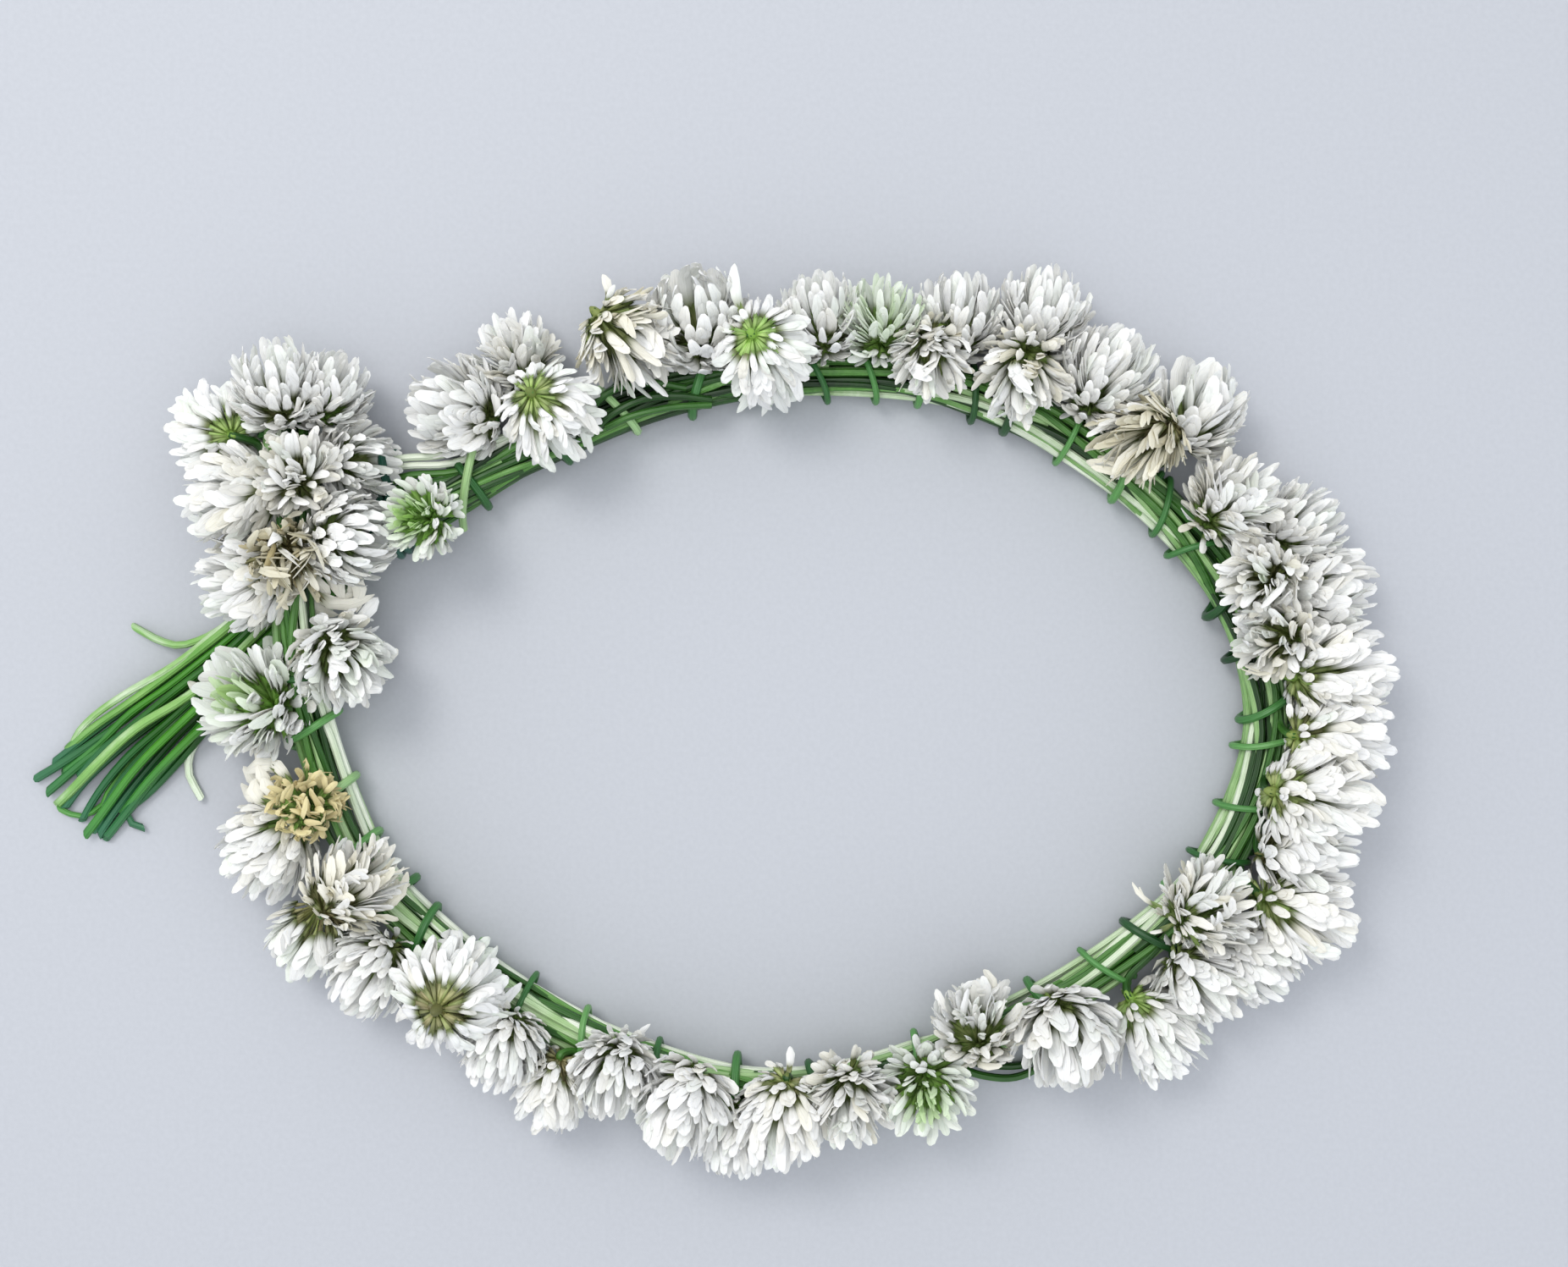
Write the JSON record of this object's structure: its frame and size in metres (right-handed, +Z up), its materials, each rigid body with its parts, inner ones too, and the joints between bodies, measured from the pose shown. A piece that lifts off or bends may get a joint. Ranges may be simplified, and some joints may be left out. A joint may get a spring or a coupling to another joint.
{
  "type": "fresh flower lei",
  "caption": "Fresh white clover lei: blossoms tied round an oval bundle of their own stems, with a tail of cut stems, lying flat on a surface.",
  "frame": {"origin": "on the surface that the lei lies on, under the middle of its outline", "axes": "+Z up, +X along the long way of the oval away from the tail, +Y towards the start of the lei and its cluster"},
  "size_m": [0.3038, 0.2036, 0.0358],
  "materials": {
    "clover_florets": "thin soft petals, matt",
    "withered_florets": "thin dry petals, matt",
    "clover_stems": "fresh green stem, satin",
    "cut_stems": "fresh green stem, moist satin",
    "wound_stem": "dark fresh stem, satin"
  },
  "bodies": {
    "root": {"stem_bundle": "clover_stems", "tail_stems": "cut_stems", "tie_stem": "wound_stem", "blossom_01": "clover_florets", "blossom_02": "clover_florets", "blossom_03": "clover_florets", "blossom_04": "clover_florets", "blossom_05": "clover_florets", "blossom_06": "clover_florets", "blossom_07": "clover_florets", "blossom_08": "withered_florets", "blossom_09": "clover_florets", "blossom_10": "clover_florets", "blossom_11": "clover_florets", "blossom_12": "withered_florets", "blossom_13": "clover_florets", "blossom_14": "clover_florets", "blossom_15": "clover_florets", "blossom_16": "clover_florets", "blossom_17": "clover_florets", "blossom_18": "clover_florets", "blossom_19": "clover_florets", "blossom_20": "clover_florets", "blossom_21": "clover_florets", "blossom_22": "clover_florets", "blossom_23": "clover_florets", "blossom_24": "clover_florets", "blossom_25": "clover_florets", "blossom_26": "clover_florets", "blossom_27": "clover_florets", "blossom_28": "clover_florets", "blossom_29": "clover_florets", "blossom_30": "clover_florets", "blossom_31": "clover_florets", "blossom_32": "clover_florets", "blossom_33": "clover_florets", "blossom_34": "clover_florets", "blossom_35": "clover_florets", "blossom_36": "clover_florets", "blossom_37": "clover_florets", "blossom_38": "clover_florets", "blossom_39": "clover_florets", "blossom_40": "clover_florets", "blossom_41": "clover_florets", "blossom_42": "clover_florets", "blossom_43": "withered_florets", "blossom_44": "clover_florets", "blossom_45": "clover_florets", "blossom_46": "clover_florets", "blossom_47": "clover_florets", "blossom_48": "clover_florets", "blossom_49": "clover_florets", "blossom_50": "clover_florets", "blossom_51": "clover_florets", "blossom_52": "clover_florets", "blossom_53": "withered_florets", "blossom_54": "clover_florets", "blossom_55": "clover_florets", "blossom_56": "clover_florets", "blossom_57": "clover_florets"}
  },
  "joints": []
}
